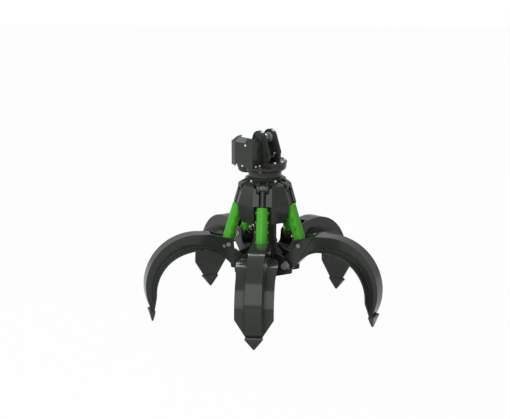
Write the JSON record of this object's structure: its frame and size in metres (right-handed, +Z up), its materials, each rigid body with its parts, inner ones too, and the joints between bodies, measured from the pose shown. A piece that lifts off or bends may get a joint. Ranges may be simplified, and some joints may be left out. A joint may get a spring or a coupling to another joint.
{
  "type": "orange peel grapple",
  "caption": "Hydraulic orange peel grapple with curved box-section tines, one cylinder per tine, a slewing rotator and a two-lug hanger with hose cover.",
  "frame": {"origin": "on the floor below the middle of the bounding box, the five tine tips on z = 0", "axes": "+Z up along the slewing axis, which stands at x = 0, y = 85.15 mm; one tine points along -Y; +X to the right seen from that tine"},
  "size_m": [2.1678, 2.0623, 1.723],
  "materials": {
    "blade_paint": "satin dark grey paint",
    "tooth_paint": "satin dark grey paint",
    "hub_paint": "satin dark grey paint",
    "crown_paint": "satin dark grey paint",
    "head_paint": "satin dark grey paint",
    "cover_paint": "satin dark grey paint",
    "cylinder_paint": "gloss green paint",
    "rod_steel": "hard chrome",
    "pin_steel": "hardened pin steel",
    "bush_steel": "machined steel",
    "inner_steel": "machined steel",
    "bolt_zinc": "bright zinc plate"
  },
  "bodies": {
    "head": {"outer_ring": "head_paint", "rotator_housing": "head_paint", "oil_swivel": "inner_steel", "hanger_lugs": "head_paint", "hanger_bushes": "bush_steel", "hose_cover": "cover_paint", "valve_block": "inner_steel", "head_bolts": "bolt_zinc"},
    "crown": {"hub": "hub_paint", "hub_cap": "hub_paint", "hinge_pins": "pin_steel", "hinge_keepers": "bolt_zinc", "column": "hub_paint", "crown": "crown_paint", "rod_pins": "pin_steel", "top_ring": "crown_paint", "crown_bolts": "bolt_zinc", "inner_ring": "inner_steel", "bearing_balls": "inner_steel", "vane_rotor": "inner_steel"},
    "tine_1": {"tine_1": "blade_paint", "tooth_1": "tooth_paint", "foot_pin_1": "pin_steel"},
    "rod_1": {"rod_1": "rod_steel", "piston_1": "inner_steel"},
    "barrel_1": {"barrel_1": "cylinder_paint", "foot_core_1": "inner_steel", "gland_1": "cylinder_paint"},
    "tine_2": {"tine_2": "blade_paint", "tooth_2": "tooth_paint", "foot_pin_2": "pin_steel"},
    "rod_2": {"rod_2": "rod_steel", "piston_2": "inner_steel"},
    "barrel_2": {"barrel_2": "cylinder_paint", "foot_core_2": "inner_steel", "gland_2": "cylinder_paint"},
    "tine_3": {"tine_3": "blade_paint", "tooth_3": "tooth_paint", "foot_pin_3": "pin_steel"},
    "rod_3": {"rod_3": "rod_steel", "piston_3": "inner_steel"},
    "barrel_3": {"barrel_3": "cylinder_paint", "foot_core_3": "inner_steel", "gland_3": "cylinder_paint"},
    "tine_4": {"tine_4": "blade_paint", "tooth_4": "tooth_paint", "foot_pin_4": "pin_steel"},
    "rod_4": {"rod_4": "rod_steel", "piston_4": "inner_steel"},
    "barrel_4": {"barrel_4": "cylinder_paint", "foot_core_4": "inner_steel", "gland_4": "cylinder_paint"},
    "tine_5": {"tine_5": "blade_paint", "tooth_5": "tooth_paint", "foot_pin_5": "pin_steel"},
    "rod_5": {"rod_5": "rod_steel", "piston_5": "inner_steel"},
    "barrel_5": {"barrel_5": "cylinder_paint", "foot_core_5": "inner_steel", "gland_5": "cylinder_paint"}
  },
  "joints": [
    {"name": "rotator", "type": "hinge", "parent": "head", "child": "crown", "pos_m": [0, 0.08515, 1.3], "axis": [0, 0, 1], "continuous": true},
    {"name": "swing_1", "type": "hinge", "parent": "crown", "child": "tine_1", "pos_m": [0, -0.14585, 0.5], "axis": [1, 0, 0], "range_deg": [0, 70]},
    {"name": "rod_eye_1", "type": "hinge", "parent": "crown", "child": "rod_1", "pos_m": [0, -0.10985, 1.222], "axis": [-1, 0, 0], "range_deg": [0, 4]},
    {"name": "extend_1", "type": "slide", "parent": "rod_1", "child": "barrel_1", "axis": [0, -0.2949, -0.9555], "range_m": [0, 0.27]},
    {"name": "swing_2", "type": "hinge", "parent": "crown", "child": "tine_2", "pos_m": [0.21969, 0.01377, 0.5], "axis": [0.309, 0.9511, 0], "range_deg": [0, 70]},
    {"name": "rod_eye_2", "type": "hinge", "parent": "crown", "child": "rod_2", "pos_m": [0.18546, 0.02489, 1.222], "axis": [-0.309, -0.9511, 0], "range_deg": [0, 4]},
    {"name": "extend_2", "type": "slide", "parent": "rod_2", "child": "barrel_2", "axis": [0.2804, -0.0911, -0.9555], "range_m": [0, 0.27]},
    {"name": "swing_3", "type": "hinge", "parent": "crown", "child": "tine_3", "pos_m": [0.13578, 0.27203, 0.5], "axis": [-0.809, 0.5878, 0], "range_deg": [0, 70]},
    {"name": "rod_eye_3", "type": "hinge", "parent": "crown", "child": "rod_3", "pos_m": [0.11462, 0.24291, 1.222], "axis": [0.809, -0.5878, 0], "range_deg": [0, 4]},
    {"name": "extend_3", "type": "slide", "parent": "rod_3", "child": "barrel_3", "axis": [0.1733, 0.2385, -0.9555], "range_m": [0, 0.27]},
    {"name": "swing_4", "type": "hinge", "parent": "crown", "child": "tine_4", "pos_m": [-0.13578, 0.27203, 0.5], "axis": [-0.809, -0.5878, 0], "range_deg": [0, 70]},
    {"name": "rod_eye_4", "type": "hinge", "parent": "crown", "child": "rod_4", "pos_m": [-0.11462, 0.24291, 1.222], "axis": [0.809, 0.5878, 0], "range_deg": [0, 4]},
    {"name": "extend_4", "type": "slide", "parent": "rod_4", "child": "barrel_4", "axis": [-0.1733, 0.2385, -0.9555], "range_m": [0, 0.27]},
    {"name": "swing_5", "type": "hinge", "parent": "crown", "child": "tine_5", "pos_m": [-0.21969, 0.01377, 0.5], "axis": [0.309, -0.9511, 0], "range_deg": [0, 70]},
    {"name": "rod_eye_5", "type": "hinge", "parent": "crown", "child": "rod_5", "pos_m": [-0.18546, 0.02489, 1.222], "axis": [-0.309, 0.9511, 0], "range_deg": [0, 4]},
    {"name": "extend_5", "type": "slide", "parent": "rod_5", "child": "barrel_5", "axis": [-0.2804, -0.0911, -0.9555], "range_m": [0, 0.27]}
  ],
  "couplings": [
    {"joint": "rod_eye_1", "follows": "swing_1", "ratio": 0.055},
    {"joint": "extend_1", "follows": "swing_1", "m_per_rad": 0.22018},
    {"joint": "rod_eye_2", "follows": "swing_2", "ratio": 0.055},
    {"joint": "extend_2", "follows": "swing_2", "m_per_rad": 0.22018},
    {"joint": "rod_eye_3", "follows": "swing_3", "ratio": 0.055},
    {"joint": "extend_3", "follows": "swing_3", "m_per_rad": 0.22018},
    {"joint": "rod_eye_4", "follows": "swing_4", "ratio": 0.055},
    {"joint": "extend_4", "follows": "swing_4", "m_per_rad": 0.22018},
    {"joint": "rod_eye_5", "follows": "swing_5", "ratio": 0.055},
    {"joint": "extend_5", "follows": "swing_5", "m_per_rad": 0.22018}
  ]
}
